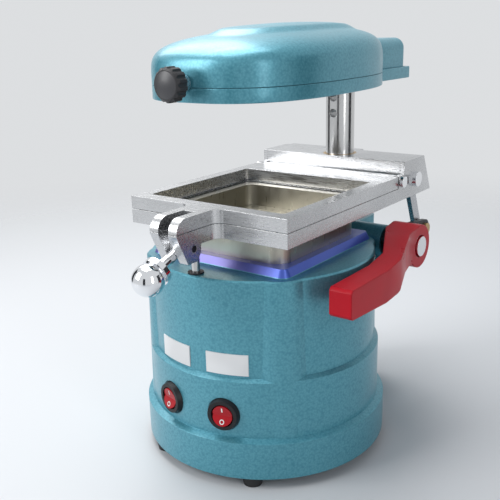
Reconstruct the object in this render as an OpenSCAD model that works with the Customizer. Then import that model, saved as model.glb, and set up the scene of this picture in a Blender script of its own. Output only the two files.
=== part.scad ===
// Dental vacuum former: a cast round base with a vacuum motor, a square suction tray,
// a hinged sheet frame that a side lever lifts on the rear post, and a heater head
// that swings about the same post. Millimetres, front towards -Y, floor at z = 0.

/* [Base casting] */
// Height of the rubber feet under the skirt
foot_h = 8; // [6:0.5:12]
// Radius of a rubber foot
foot_r = 8.5; // [6:0.5:9]
// Distance of a foot's centre inside the skirt's edge
foot_inset = 9; // [8:0.5:12]
// How far the bottom skirt stands out of the middle tier
skirt_out = 5.2; // [4:0.2:8]
// Height of the skirt's upright wall
skirt_h = 28.5; // [24:0.5:34]
// How far the middle tier stands out of the upper tier
waist_out = 3.8; // [2:0.2:6]
// Height of the middle tier's upright wall
waist_h = 43.5; // [38:0.5:50]
// Room on the deck from the guide rod's axis to the edge
guide_margin = 7; // [6:0.1:10]
// Height of the upper tier's upright wall
barrel_h = 72.5; // [66:0.5:80]
// Height of the sloped band between two tiers
step_h = 2; // [1:0.5:4]
// Wall of the base casting
wall = 4; // [3:0.5:5]
// Thickness of the casting's flat deck
deck_t = 6; // [5:0.5:8]
// How far a corner rib stands out of the upper tier
rib_out = 3; // [2:0.25:4]
// Radius of a corner rib at its top
rib_r = 24; // [20:1:28]
// How far the raised pad stands out of the tray on each side
pad_margin = 9.5; // [6:0.5:10.5]
// Height of the raised pad
pad_h = 6; // [4:0.5:8]
// Half width of the column at the back that holds the post
column_half_w = 28; // [25:0.5:30]

/* [Tray] */
// Outer width and depth of the suction tray
tray_w = 107; // [100:1:109]
// Height of the tray above the pad
tray_h = 28.9; // [26:0.1:33]
// Wall of the tray
tray_wall = 2.5; // [2:0.25:4]
// Corner radius of the tray
tray_corner_r = 12; // [8:1:16]
// Depth of the perforated plate below the tray's rim
plate_depth = 18; // [14:0.5:20]
// Thickness of the perforated plate
plate_t = 2; // [1.5:0.25:3]
// Distance between two holes of the perforated plate
hole_pitch = 7; // [6:0.5:10]
// Radius of a hole of the perforated plate
hole_r = 1; // [0.75:0.05:1.5]
// Radius of the suction port
port_r = 18; // [14:0.5:22]

/* [Sheet frame] */
// Play between the tray's rim and the frames' window on each side
window_play = 3; // [2:0.25:6]
// Width of a frame's side and front bars
side_bar = 10; // [8:0.5:12]
// Depth of the frames' rear bar
rear_bar = 40; // [36:1:44]
// Thickness of the lower frame
lower_t = 10.6; // [9:0.2:12]
// Thickness of the upper frame
upper_t = 9.8; // [9:0.2:11]
// Thickness of the rubber seal between the frames
seal_t = 0.4; // [0.3:0.1:1]
// Thickness of the side cheeks at the back
cheek_t = 4; // [3:0.5:5]
// Height of the rear carrier block
block_h = 31.4; // [29:0.2:34]
// Depth of the rear carrier block at its top
block_d = 38; // [36:1:42]

/* [Clamp] */
// Half width of the front clamp lug
lug_half_w = 12; // [11:0.5:14]
// Distance that the lug stands out of the frame
lug_out = 42; // [38:1:44]
// Width of the slot in the lug
lug_slot = 9; // [8.6:0.1:10]
// Distance from the swing bolt's pin to the centre of its ball nut
ball_reach = 36.6; // [35:0.2:40]
// Radius of the ball nut
ball_r = 11.3; // [10:0.1:12]
// Angle that the released swing bolt hangs below level
bolt_droop = 24; // [20:1:30]

/* [Post and head] */
// Radius of the post
post_r = 12.5; // [11:0.25:13.5]
// Distance of the post behind the front of the carrier block
post_back = 17; // [16:0.5:20]
// Height of the heater head above the sheet
head_gap = 82.8; // [80:0.5:90]
// Half width of the heater head
head_half_w = 64; // [62:0.5:70]
// Half depth of the heater head's main shell
head_half_d = 105; // [102:1:108]
// Distance from the post forward to the middle of the main shell
head_reach = 97; // [94:1:100]
// Height of the head's lower rim
rim_h = 10; // [8:0.5:12]
// Height of the domed shell above the rim, at its middle and without its crest
dome_h = 36.4; // [34:0.2:44]
// How much higher the shell is at its back than at its middle
dome_rise = 3.5; // [0:0.25:6]
// Height of the raised crest along the top of the shell
crest_h = 3; // [1:0.25:5]
// Wall of the head's shells
head_wall = 3; // [2.5:0.25:4]
// Half width of the head's tail
tail_half_w = 35; // [32:1:38]
// Radius of the black knob
knob_r = 11.5; // [10:0.5:13]

/* [Lever] */
// Distance of the lever shaft in front of the carrier block
lever_ahead = 23; // [21:0.5:25]
// Depth of the lever shaft below the deck
lever_drop = 5.5; // [4:0.5:8]
// Radius of the lever shaft
shaft_r = 6; // [5:0.25:7]
// Radius of the lever's hub
hub_r = 17.4; // [16:0.2:19]
// Distance from the shaft to the end of the grip
lever_len = 135; // [120:1:140]
// Height of the grip
grip_h = 21; // [18:0.5:23]
// Thickness of the grip
grip_t = 17; // [15:0.5:18]
// Thickness of the link and of the crank arm
link_t = 4; // [3:0.5:4]

/* [Switches] */
// Radius of a switch's round bezel
bezel_r = 12.5; // [11:0.25:13.5]
// Radius of a switch's body behind the panel
switch_r = 10; // [9:0.25:10.5]
// Width of a label plate
label_w = 32; // [28:1:36]
// Height of a label plate
label_h = 16; // [12:0.5:18]

/* [Hidden] */
$fn = 96;

// Colours as the object shows them
teal = [0.28, 0.60, 0.68];
steel = [0.76, 0.77, 0.78];
chrome = [0.85, 0.86, 0.88];
black = [0.08, 0.08, 0.09];
brass = [0.78, 0.62, 0.30];
red = [0.75, 0.07, 0.11];
grey = [0.45, 0.46, 0.48];
white = [0.93, 0.93, 0.91];

// Clearances of fits and gaps
run_gap = 0.04;
slip_gap = 0.3;
seat_gap = 0.6;
over = 1;

// Frames' plan, worked out from the tray's rim
tray_cy = 2;
rim_out = 4.5;
rim_outer_w = tray_w + 2 * rim_out;
window_w = rim_outer_w + 2 * window_play;
frame_w = window_w + 2 * side_bar;
front_bar = side_bar + 1;
front_y = tray_cy - window_w / 2 - front_bar;
block_y = tray_cy + window_w / 2 + rear_bar;
post_y = block_y + post_back;
rod_y = front_y - 11;

// Radii of the base's tiers, from the guide rod outwards
barrel_r = guide_margin - rod_y;
waist_r = barrel_r + waist_out;
skirt_r = waist_r + skirt_out;
foot_circle_r = skirt_r - foot_inset;
pad_w = tray_w + 2 * pad_margin;

// Heights of the base's tiers
skirt_top = foot_h + skirt_h;
waist_z = skirt_top + step_h;
waist_top = waist_z + waist_h;
barrel_z = waist_top + step_h;
deck_z = barrel_z + barrel_h;
pad_top = deck_z + pad_h;
deck_under = deck_z - deck_t;
rim_chamfer = 1.2;
rib_flare = 2;

// Places of the feet, as angles from the front
foot_angles = [-29, 29, 112, 180, 248];
foot_boss_r = 7;
foot_boss_top = skirt_top - 4;
foot_screw_r = 2;
foot_screw_top = foot_boss_top - 4;

// Bottom cover
cover_t = 2.5;
cover_z = foot_h;
cover_r = skirt_r - wall - slip_gap;
vent_count = 12;
vent_w = 4;
vent_len = 26;
vent_circle_r = 45;

// Rear column and its cored foot
column_back_y = post_y + post_r + 8;
column_corner_r = 8;
column_core_y = foot_circle_r + foot_boss_r + wall;
post_foot_z = deck_z - 82;
column_core_top = post_foot_z - 10;
set_screw_r = 3;
set_screw_zs = [post_foot_z + 18, post_foot_z + 53];

// Tray levels, from the rim down
rim_t = 2;
tray_top = pad_top + tray_h;
tray_floor_t = 3;
plate_z = tray_top - plate_depth - plate_t;
ledge_w = 3;
tray_screw_r = 2;
tray_screw_at = tray_w / 2 - tray_wall - ledge_w - 6;
gasket_t = 1.5;
gasket_w = 5;
plate_w = tray_w - 2 * tray_wall - 2 * slip_gap;
hole_field_w = plate_w - 2 * ledge_w - 8;
hole_count = floor(hole_field_w / hole_pitch) + 1;

// Fan and motor, all on the base's axis
fan_r = barrel_r - 26;
fan_wall = 2.5;
fan_h = 34;
fan_gasket_t = 3;
fan_top = deck_under - fan_gasket_t;
fan_z = fan_top - fan_h;
motor_r = fan_r - 20;
motor_wall = 2;
motor_h = 72;
motor_z = fan_z - motor_h;
bracket_t = 4;
bracket_r = barrel_r - 10;
bracket_screw_at = bracket_r - 8;
bracket_screw_r = 2.5;
bearing_r = 11;
bearing_h = 7;
rotor_r = 4;
core_r = motor_r - 18;
stator_in_r = core_r + 1;
core_h = 36;
core_z = motor_z + 18;
impeller_r = fan_r - 8;
impeller_z = fan_z + 8;
impeller_h = 18;
blade_count = 8;
blade_t = 2;
eye_r = 20;

// Frames
sheet_drop = 0.8;
sheet_z = tray_top + sheet_drop;
lower_z = sheet_z - lower_t;
upper_z = sheet_z + seal_t;
upper_top = upper_z + upper_t;
window_corner_r = 3;
block_top = lower_z + block_h;
block_back_y = block_y + block_d;
block_back_low_y = block_back_y + 15;
block_step = 6;
block_step_x = 9;
block_half_w = frame_w / 2 - cheek_t - 0.1;
nose_r = upper_t / 2;
hinge_y = block_y - nose_r - slip_gap;
hinge_z = upper_z + nose_r;
cheek_front_y = hinge_y - nose_r + 0.3;
frame_step_y = cheek_front_y - 1.6;
nose_half_w = block_half_w - 0.3;
hinge_screw_r = 3;
hinge_head_r = 4.6;
hinge_head_t = 3.2;
cheek_screw_y = block_y + 6;
cheek_screw_r = 2.5;
cheek_head_r = 3.6;
cheek_head_t = 3;
bush_wall = 2.2;
bush_h = 9;

// Clamp lug, swing bolt and ball nut
lug_front_y = front_y - lug_out;
lug_low_z = lower_z - 11.6;
lug_low_back_y = lug_front_y + 24;
lug_taper = 10;
lug_fillet_r = 8;
slot_back_y = lug_front_y + 27;
clamp_y = lug_front_y + 17;
clamp_z = sheet_z - 12.7;
clamp_pin_r = 2.5;
eye_end_r = 7;
bolt_r = 4;
eye_t = lug_slot - 0.5;
collar_r = 10.4;
collar_t = 4;
// The collar passes the rounded front of the lug as the bolt swings up
collar_at = sqrt(pow(clamp_y - lug_front_y - upper_t, 2) + pow(upper_z - clamp_z, 2))
  + upper_t + slip_gap;
rod_r = 3.1;
rod_len = 86;
guide_bush_r = 4.6;
guide_bush_h = 14;

// Lever, crank, link and their pins
lever_y = block_y - lever_ahead;
lever_z = deck_z - lever_drop;
crank_inset = 2.2;
crank_x = frame_w / 2 - crank_inset;
crank_gap = 0.8;
hub_x = crank_x + link_t + crank_gap;
hub_w = 24;
grip_gap = 5.7;
grip_x = barrel_r + grip_gap;
crank_reach = 65.5;
crank_sag = 3.7;
pin_y = lever_y + crank_reach;
pin_z = lever_z - crank_sag;
pin_r = 3;
crank_hub_r = 12;
crank_end_r = 8;
link_x = block_half_w - 0.3 - link_t;
link_top_back = 21;
link_top_drop = 17.5;
link_top_y = block_y + link_top_back;
link_top_z = block_top - link_top_drop;
link_end_r = 6;
link_slot = 3.2;
link_eye_gap = 0.45;
link_w = 10;
pivot_r = 2.8;
pivot_head_r = 6.3;
pivot_head_t = 3.6;
lever_boss_r = 13;
lever_boss_x = 30;
lever_boss_end = crank_x - crank_gap;
lever_bush_r = 8;
shaft_start_x = 40;
cap_r = 8;
cap_depth = 5;
cap_stem_r = 3.5;
cap_stem_len = 16;

// Post and head
head_z = sheet_z + head_gap;
seam_gap = 0.2;
dome_z = head_z + rim_h + seam_gap;
head_cy = post_y - head_reach;
tail_y = post_y + 66;
tail_h = 25;
tail_corner_r = 9;
lip_out = 3;
lip_corner_r = 4;
post_top = dome_z + 20;
detent_r = 3.6;
detent_zs = [head_z - 26, head_z - 12.4];
// The plan is a superellipse that is a little wider at the front
plan_power = 2.75;
plan_taper = 0.05;
plan_steps = 72;
dome_steps = 14;
crest_half_w = 38;
crest_half_d = 82;
crest_y = post_y - 82;
crest_shoulder = 0.22;
hub_block_r = 23;
hub_z = head_z + 2;
hub_h = 24;
hub_ear_len = 34;
hub_ear_t = 5;
hub_screw_r = 2;
hub_screw_in = 10;
hub_screw_back = 24;
knob_z = head_z + 13;
knob_len = 11;
knob_stem = 9;
knob_core = 4;
knob_stud_r = 3;
flute_count = 14;
flute_r = 1.6;
heater_t = 6;
heater_z = head_z + 9;
reflector_z = head_z + 4;
reflector_t = 1;
reflector_h = 14;
reflector_w = 2 * head_half_w - 24;
heater_gap = 2;
heater_w = reflector_w - 2 * reflector_t - 2 * heater_gap;
element_r = 2.2;
element_rows = 6;
element_gap = heater_w / 7;
element_half = heater_w / 2 - 11;
strap_at = 26;
strap_w = 4;
strap_t = 1.2;
strap_in = 3;

// Switches and labels, as angles from the front
vacuum_angle = -14;
heat_angle = 16.5;
switch_z = waist_z + waist_h * 0.4;
switch_proud = 0.3;
bezel_t = 2.8;
bezel_seat = 1.2;
switch_depth = 24;
rocker_w = 15;
rocker_r = 8.2;
rocker_t = 5;
rocker_gap = 0.4;
rocker_axle_r = 1.5;
label_z = barrel_z + 2;
label_turn = 1.5;
label_t = 0.8;

// Power inlet at the back of the column
inlet_w = 27;
inlet_h = 19.8;
inlet_z = skirt_top + 8;
wire_hole_r = 5;
inlet_depth = 24;
inlet_plate_w = 48;
inlet_plate_h = 24;
inlet_plate_t = 2.5;
inlet_screw_at = 20;
inlet_screw_r = 1.6;

// A flat rectangle with round corners, centred
module round_rect(w, d, r) {
  square([w - 2 * r, d], center = true);
  square([w, d - 2 * r], center = true);
  for (x = [-1, 1], y = [-1, 1])
    translate([x * (w / 2 - r), y * (d / 2 - r)]) circle(r = r);
}

// A cylinder along X that starts at x
module bar_x(x, len, r, y, z) {
  translate([x, y, z]) rotate([0, 90, 0]) cylinder(r = r, h = len);
}

// An outline in y and z, extruded along X from x
module slab_x(x, len) {
  translate([x, 0, 0]) rotate([90, 0, 90]) linear_extrude(len) children();
}

// The casting's stepped outside, turned about its axis
module tiers() {
  rotate_extrude() polygon([
    [0, foot_h], [skirt_r, foot_h], [skirt_r, skirt_top],
    [waist_r, waist_z], [waist_r, waist_top],
    [barrel_r, barrel_z], [barrel_r, deck_z - rim_chamfer],
    [barrel_r - rim_chamfer, deck_z], [0, deck_z]
  ]);
}

// Four upright ribs at the corners, a little wider at the skirt than at the deck
module ribs() {
  rib_at = barrel_r + rib_out - rib_r;
  rise = deck_z - skirt_top + 1;
  for (a = [45 : 90 : 315])
    rotate(a) translate([rib_at, 0, skirt_top - 1]) {
      cylinder(r1 = rib_r + rib_flare, r2 = rib_r, h = rise - rim_chamfer);
      translate([0, 0, rise - rim_chamfer]) cylinder(r1 = rib_r, r2 = rib_r - rim_chamfer, h = rim_chamfer);
    }
}

// Turns a thing at the front of the base round to an angle from the front
module around(a) {
  rotate(a) children();
}

// The column's outline seen from above, drawn in by some margin
module column_plan(margin, front_y) {
  depth = column_back_y - margin - front_y;
  translate([0, front_y + depth / 2])
    round_rect(2 * (column_half_w - margin), depth, column_corner_r - margin);
}

// Holes for the parts that go through the casting
module casting_bores() {
  translate([0, 0, deck_under - over]) cylinder(r = port_r, h = deck_t + pad_h + 2 * over);
  translate([0, post_y, post_foot_z]) cylinder(r = post_r + run_gap, h = deck_z);
  translate([0, rod_y, deck_under - guide_bush_h]) cylinder(r = guide_bush_r, h = deck_z);
  // The guide rod slides down along the wall, below its bush
  translate([0, rod_y, lower_z + 8 - rod_len - over])
    cylinder(r = rod_r + slip_gap, h = deck_under - lower_z - 8 + rod_len);
  bar_x(shaft_start_x - over, crank_x, lever_bush_r, lever_y, lever_z);
  for (z = set_screw_zs)
    translate([0, post_y, z]) rotate([-90, 0, 0]) cylinder(r = set_screw_r, h = column_back_y);
  // Each switch has a bore and a flat seat that its bezel lies in
  for (a = [vacuum_angle, heat_angle])
    around(a) {
      translate([0, 0, switch_z]) rotate([90, 0, 0])
        cylinder(r = switch_r + slip_gap, h = skirt_r);
      translate([0, bezel_seat - waist_r - switch_proud, switch_z]) rotate([90, 0, 0])
        cylinder(r = bezel_r + slip_gap, h = 2 * rib_out);
    }
  for (x = [-1, 1], y = [-1, 1])
    translate([x * tray_screw_at, tray_cy + y * tray_screw_at, pad_top - 8])
      cylinder(r = tray_screw_r, h = 8 + over);
  for (a = [90 : 120 : 330])
    rotate(a) translate([bracket_screw_at, 0, deck_under - over])
      cylinder(r = bracket_screw_r, h = deck_t);
  for (a = foot_angles)
    around(a) translate([0, -foot_circle_r, foot_h - over])
      cylinder(r = foot_screw_r, h = foot_screw_top - foot_h + over);
  translate([-inlet_w / 2, column_back_y - 2 * wall, inlet_z - inlet_h / 2])
    cube([inlet_w, 3 * wall, inlet_h]);
  for (x = [-1, 1])
    translate([x * inlet_screw_at, column_back_y - 2 * wall, inlet_z]) rotate([-90, 0, 0])
      cylinder(r = inlet_screw_r, h = 3 * wall);
  // The wires from the inlet pass through the wall between column and base
  translate([0, foot_circle_r - over, inlet_z + inlet_h / 2 - wire_hole_r])
    rotate([-90, 0, 0]) cylinder(r = wire_hole_r, h = column_core_y - foot_circle_r + 2 * over);
}

// The hollow inside the casting
module casting_hollow() {
  translate([0, 0, foot_h - over]) cylinder(r = skirt_r - wall, h = skirt_h + over - wall / 2);
  translate([0, 0, foot_h]) cylinder(r = waist_r - wall, h = waist_top - foot_h - wall / 2);
  translate([0, 0, foot_h]) cylinder(r = barrel_r - wall, h = deck_under - foot_h);
}

module base_casting() color(teal) difference() {
  union() {
    difference() {
      union() {
        tiers();
        ribs();
        translate([0, 0, foot_h]) linear_extrude(deck_z - foot_h) column_plan(0, 0);
        bar_x(lever_boss_x, lever_boss_end - lever_boss_x, lever_boss_r, lever_y, lever_z);
        translate([0, lever_y - 5, 0]) rotate([90, 0, 0]) mirror([0, 0, 1])
          linear_extrude(10) polygon([
            [lever_boss_x, lever_z], [lever_boss_end - 3, lever_z],
            [lever_boss_end - 3, lever_z - 20], [lever_boss_x, lever_z - 62]
          ]);
      }
      casting_hollow();
    }
    // The column's solid foot inside the hollow, and the bosses of the feet
    translate([0, 0, column_core_top]) linear_extrude(deck_under - column_core_top + over)
      column_plan(0, barrel_r - 2 * wall);
    intersection() {
      bar_x(lever_boss_x, lever_boss_end - lever_boss_x, lever_boss_r, lever_y, lever_z);
      translate([lever_boss_x, 0, 0]) cube([skirt_r, skirt_r, deck_z]);
    }
    for (a = foot_angles)
      around(a) translate([0, -foot_circle_r, foot_h + cover_t])
        cylinder(r = foot_boss_r, h = foot_boss_top - foot_h - cover_t);
    translate([0, rod_y, deck_under - guide_bush_h])
      cylinder(r = guide_bush_r + 2, h = guide_bush_h + over);
    // The raised pad under the tray
    translate([0, tray_cy, deck_z]) pad_solid();
  }
  casting_bores();
  // The hollow foot of the column, open below
  translate([0, 0, foot_h - over]) linear_extrude(column_core_top - foot_h + over)
    column_plan(wall, column_core_y);
}

// The raised pad, with sloping sides and round corners
module pad_solid() {
  slope = 3;
  corner = 7;
  run = pad_w - 2 * corner;
  side = [[-pad_w / 2, 0], [pad_w / 2, 0], [pad_w / 2 - slope, pad_h], [slope - pad_w / 2, pad_h]];
  translate([0, run / 2, 0]) rotate([90, 0, 0]) linear_extrude(run) polygon(side);
  translate([-run / 2, 0, 0]) rotate([90, 0, 90]) linear_extrude(run) polygon(side);
  for (x = [-1, 1], y = [-1, 1])
    translate([x * run / 2, y * run / 2, 0]) cylinder(r1 = corner, r2 = corner - slope, h = pad_h);
}

module bottom_cover() color(grey) difference() {
  translate([0, 0, cover_z]) cylinder(r = cover_r, h = cover_t);
  for (a = foot_angles)
    around(a) translate([0, -foot_circle_r, cover_z - over])
      cylinder(r = foot_screw_r + slip_gap, h = cover_t + 2 * over);
  for (i = [0 : vent_count - 1])
    rotate(i * 360 / vent_count)
      translate([vent_circle_r - vent_len / 2, -vent_w / 2, cover_z - over])
        cube([vent_len, vent_w, cover_t + 2 * over]);
}

module rubber_feet() color(black)
  for (a = foot_angles)
    around(a) translate([0, -foot_circle_r, 0]) difference() {
      cylinder(r1 = foot_r - 1.5, r2 = foot_r, h = foot_h);
      translate([0, 0, -over]) cylinder(r = 4, h = 3 + over);
      translate([0, 0, 2]) cylinder(r = foot_screw_r + slip_gap, h = foot_h);
    }

module foot_screws() color(steel)
  for (a = foot_angles)
    around(a) translate([0, -foot_circle_r, 0]) {
      translate([0, 0, 1]) cylinder(r = 3.6, h = 2);
      translate([0, 0, 3]) cylinder(r = foot_screw_r, h = foot_screw_top - 3);
    }

module guide_bush() color(brass) translate([0, rod_y, 0]) difference() {
  union() {
    translate([0, 0, deck_under - guide_bush_h])
      cylinder(r = guide_bush_r, h = guide_bush_h + deck_t);
    translate([0, 0, deck_z]) cylinder(r = guide_bush_r + 1.2, h = 1.2);
  }
  translate([0, 0, deck_under - guide_bush_h - over])
    cylinder(r = rod_r + run_gap, h = guide_bush_h + deck_t + 3 * over);
}

module tray() color(steel) translate([0, tray_cy, 0]) difference() {
  union() {
    translate([0, 0, pad_top]) linear_extrude(tray_h) round_rect(tray_w, tray_w, tray_corner_r);
    translate([0, 0, tray_top - rim_t]) linear_extrude(rim_t)
      round_rect(rim_outer_w, rim_outer_w, tray_corner_r / 2);
  }
  translate([0, 0, plate_z]) linear_extrude(plate_depth + plate_t + over)
    round_rect(tray_w - 2 * tray_wall, tray_w - 2 * tray_wall, tray_corner_r - tray_wall);
  translate([0, 0, pad_top + tray_floor_t]) linear_extrude(plate_depth)
    round_rect(tray_w - 2 * tray_wall - 2 * ledge_w, tray_w - 2 * tray_wall - 2 * ledge_w,
      tray_corner_r - tray_wall - ledge_w);
  translate([0, -tray_cy, pad_top - over]) cylinder(r = port_r, h = tray_floor_t + 2 * over);
  for (x = [-1, 1], y = [-1, 1])
    translate([x * tray_screw_at, y * tray_screw_at, pad_top - over])
      cylinder(r = tray_screw_r + slip_gap, h = tray_floor_t + 2 * over);
}

module perforated_plate() color(steel) translate([0, tray_cy, plate_z]) difference() {
  linear_extrude(plate_t)
    round_rect(plate_w, plate_w, tray_corner_r - tray_wall - slip_gap);
  translate([-(hole_count - 1) * hole_pitch / 2, -(hole_count - 1) * hole_pitch / 2, -over])
    for (i = [0 : hole_count - 1], j = [0 : hole_count - 1])
      translate([i * hole_pitch, j * hole_pitch, 0]) cylinder(r = hole_r, h = plate_t + 2 * over);
}

module tray_screws() color(steel) translate([0, tray_cy, 0])
  for (x = [-1, 1], y = [-1, 1])
    translate([x * tray_screw_at, y * tray_screw_at, 0]) {
      translate([0, 0, pad_top - 7]) cylinder(r = tray_screw_r, h = 7 + tray_floor_t);
      translate([0, 0, pad_top + tray_floor_t]) cylinder(r = 3.4, h = 1);
    }

module port_gasket() color(black) translate([0, 0, pad_top + tray_floor_t]) difference() {
  cylinder(r = port_r + gasket_w, h = gasket_t);
  translate([0, 0, -over]) cylinder(r = port_r, h = gasket_t + 2 * over);
}

module fan_housing() color(grey) difference() {
  translate([0, 0, fan_z]) cylinder(r = fan_r, h = fan_h);
  translate([0, 0, fan_z + fan_wall]) cylinder(r = fan_r - fan_wall, h = fan_h - 2 * fan_wall);
  translate([0, 0, fan_top - fan_wall - over]) cylinder(r = port_r, h = fan_wall + 2 * over);
  translate([0, 0, fan_z - over]) cylinder(r = bearing_r, h = fan_wall + 2 * over);
  for (a = [0 : 30 : 330])
    rotate(a) translate([fan_r - 2 * fan_wall, -4, fan_z + fan_wall])
      cube([3 * fan_wall, 8, 4]);
}

module fan_gasket() color(black) difference() {
  translate([0, 0, fan_top]) cylinder(r = port_r + 3 * gasket_w, h = fan_gasket_t);
  translate([0, 0, fan_top - over]) cylinder(r = port_r, h = fan_gasket_t + 2 * over);
}

module motor_can() color(steel) difference() {
  translate([0, 0, motor_z]) cylinder(r = motor_r, h = motor_h);
  translate([0, 0, motor_z + motor_wall])
    cylinder(r = motor_r - motor_wall, h = motor_h - 2 * motor_wall);
  translate([0, 0, motor_z - over]) cylinder(r = rotor_r + slip_gap, h = motor_wall + 2 * over);
  translate([0, 0, fan_z - motor_wall - over])
    cylinder(r = bearing_r, h = motor_wall + 2 * over);
  for (a = [0 : 45 : 315])
    rotate(a) translate([motor_r - 2 * motor_wall, -4, motor_z + 6])
      cube([3 * motor_wall, 8, 8]);
}

module stator_core() color(brass) translate([0, 0, core_z]) difference() {
  cylinder(r = motor_r - motor_wall, h = core_h);
  translate([0, 0, -over]) cylinder(r = stator_in_r, h = core_h + 2 * over);
}

module motor_bracket() color(steel) difference() {
  union() {
    translate([0, 0, fan_z - bracket_t]) cylinder(r = motor_r + 12, h = bracket_t);
    for (a = [90 : 120 : 330])
      rotate(a) translate([motor_r, -8, fan_z - bracket_t])
        cube([bracket_r - motor_r, 16, bracket_t]);
  }
  translate([0, 0, fan_z - bracket_t - over])
    cylinder(r = motor_r + run_gap, h = bracket_t + 2 * over);
  for (a = [90 : 120 : 330])
    rotate(a) translate([bracket_screw_at, 0, fan_z - bracket_t - over])
      cylinder(r = bracket_screw_r + slip_gap, h = bracket_t + 2 * over);
}

module bracket_screws() color(steel)
  for (a = [90 : 120 : 330])
    rotate(a) translate([bracket_screw_at, 0, 0]) {
      translate([0, 0, fan_z - bracket_t - 4]) cylinder(r = 4.2, h = 4);
      translate([0, 0, fan_z - bracket_t])
        cylinder(r = bracket_screw_r, h = deck_under + deck_t - 2 - fan_z + bracket_t);
    }

module motor_bearings() color(chrome)
  for (z = [motor_z + motor_wall, fan_z + fan_wall - bearing_h])
    translate([0, 0, z]) difference() {
      cylinder(r = bearing_r, h = bearing_h);
      translate([0, 0, -over]) cylinder(r = rotor_r + run_gap, h = bearing_h + 2 * over);
    }

module rotor_shaft() color(chrome)
  translate([0, 0, motor_z - 6])
    cylinder(r = rotor_r, h = impeller_z + impeller_h - 2 - motor_z + 6);

module rotor_core() color(grey) translate([0, 0, core_z]) difference() {
  cylinder(r = core_r, h = core_h);
  translate([0, 0, -over]) cylinder(r = rotor_r, h = core_h + 2 * over);
}

module impeller() color(grey) translate([0, 0, impeller_z]) difference() {
  union() {
    cylinder(r = impeller_r, h = 1.5);
    translate([0, 0, impeller_h - 1.5]) difference() {
      cylinder(r = impeller_r, h = 1.5);
      translate([0, 0, -over]) cylinder(r = eye_r, h = 1.5 + 2 * over);
    }
    cylinder(r = rotor_r + 4, h = impeller_h - 4);
    for (i = [0 : blade_count - 1])
      rotate(i * 360 / blade_count) translate([rotor_r + 2, -blade_t / 2, 0])
        cube([impeller_r - rotor_r - 4, blade_t, impeller_h - 1]);
  }
  translate([0, 0, -over]) cylinder(r = rotor_r, h = impeller_h + 2 * over);
}

module post() color(steel) translate([0, post_y, 0]) difference() {
  translate([0, 0, post_foot_z]) cylinder(r = post_r, h = post_top - post_foot_z);
  for (z = detent_zs)
    translate([0, post_r + over, z]) rotate([90, 0, 0])
      cylinder(r = detent_r, h = 2 * (post_r + over));
  translate([0, 0, post_foot_z - over]) cylinder(r = post_r - 3, h = 8 + over);
}

module post_set_screws() color(black)
  for (z = set_screw_zs)
    translate([0, post_y + post_r + 0.1, z]) rotate([-90, 0, 0])
      cylinder(r = set_screw_r, h = column_back_y - post_y - post_r - 0.6);

module lever_bush() color(brass) difference() {
  bar_x(shaft_start_x, lever_boss_end - shaft_start_x, lever_bush_r, lever_y, lever_z);
  bar_x(shaft_start_x - over, crank_x, shaft_r + run_gap, lever_y, lever_z);
}

module power_inlet() color(black) translate([0, column_back_y, inlet_z]) difference() {
  union() {
    translate([-inlet_w / 2 + 0.2, -inlet_depth, -inlet_h / 2 + 0.2])
      cube([inlet_w - 0.4, inlet_depth, inlet_h - 0.4]);
    translate([0, 0, 0]) rotate([-90, 0, 0]) linear_extrude(inlet_plate_t)
      round_rect(inlet_plate_w, inlet_plate_h, 4);
  }
  translate([-11, -16, -7.5]) cube([22, 16 + inlet_plate_t + over, 15]);
  for (x = [-1, 1])
    translate([x * inlet_screw_at, -over, 0]) rotate([-90, 0, 0])
      cylinder(r = inlet_screw_r + slip_gap, h = inlet_plate_t + 2 * over);
}

module inlet_screws() color(steel)
  for (x = [-1, 1])
    translate([x * inlet_screw_at, column_back_y, inlet_z]) rotate([-90, 0, 0]) {
      translate([0, 0, inlet_plate_t]) cylinder(r = 2.8, h = 1.4);
      translate([0, 0, -wall + over]) cylinder(r = inlet_screw_r, h = inlet_plate_t + wall - over);
    }

// A switch seat turns a thing so that it looks out of the middle tier
module at_switch(a) {
  around(a) translate([0, -(waist_r + switch_proud), switch_z]) rotate([90, 0, 0]) children();
}

module switch_body(a) color(black) at_switch(a) difference() {
  union() {
    translate([0, 0, -bezel_seat])
      cylinder(r1 = bezel_r, r2 = bezel_r - 1.2, h = bezel_t + bezel_seat);
    translate([0, 0, -switch_depth]) cylinder(r = switch_r, h = switch_depth);
    for (x = [-5, 0, 5])
      translate([x - 0.4, -3, -switch_depth - 7]) cube([0.8, 6, 8]);
  }
  translate([0, 0, -6]) cylinder(r = rocker_r + rocker_gap, h = bezel_t + 8);
  translate([-rocker_w / 2 - 1.5, 0, -1]) rotate([0, 90, 0])
    cylinder(r = rocker_axle_r + run_gap, h = rocker_w + 3);
}

module vacuum_switch() switch_body(vacuum_angle);
module heat_switch() switch_body(heat_angle);

// A round rocker with two sloping faces, flat flanks and an axle across its middle
module rocker(a) color(red) at_switch(a) {
  intersection() {
    rotate([90, 0, 90]) translate([0, 0, -rocker_w / 2]) linear_extrude(rocker_w)
      polygon([
        [-rocker_r, -1.6], [rocker_r, -1.6], [rocker_r, bezel_t + 0.5],
        [0, bezel_t - 1.1], [-rocker_r, bezel_t + rocker_t - 3.1]
      ]);
    translate([0, 0, -1.6]) cylinder(r1 = rocker_r, r2 = rocker_r - 0.9, h = bezel_t + rocker_t);
  }
  translate([-rocker_w / 2 - 1.2, 0, -1]) rotate([0, 90, 0])
    cylinder(r = rocker_axle_r, h = rocker_w + 2.4);
}

module vacuum_rocker() rocker(vacuum_angle);
module heat_rocker() rocker(heat_angle);

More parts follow.
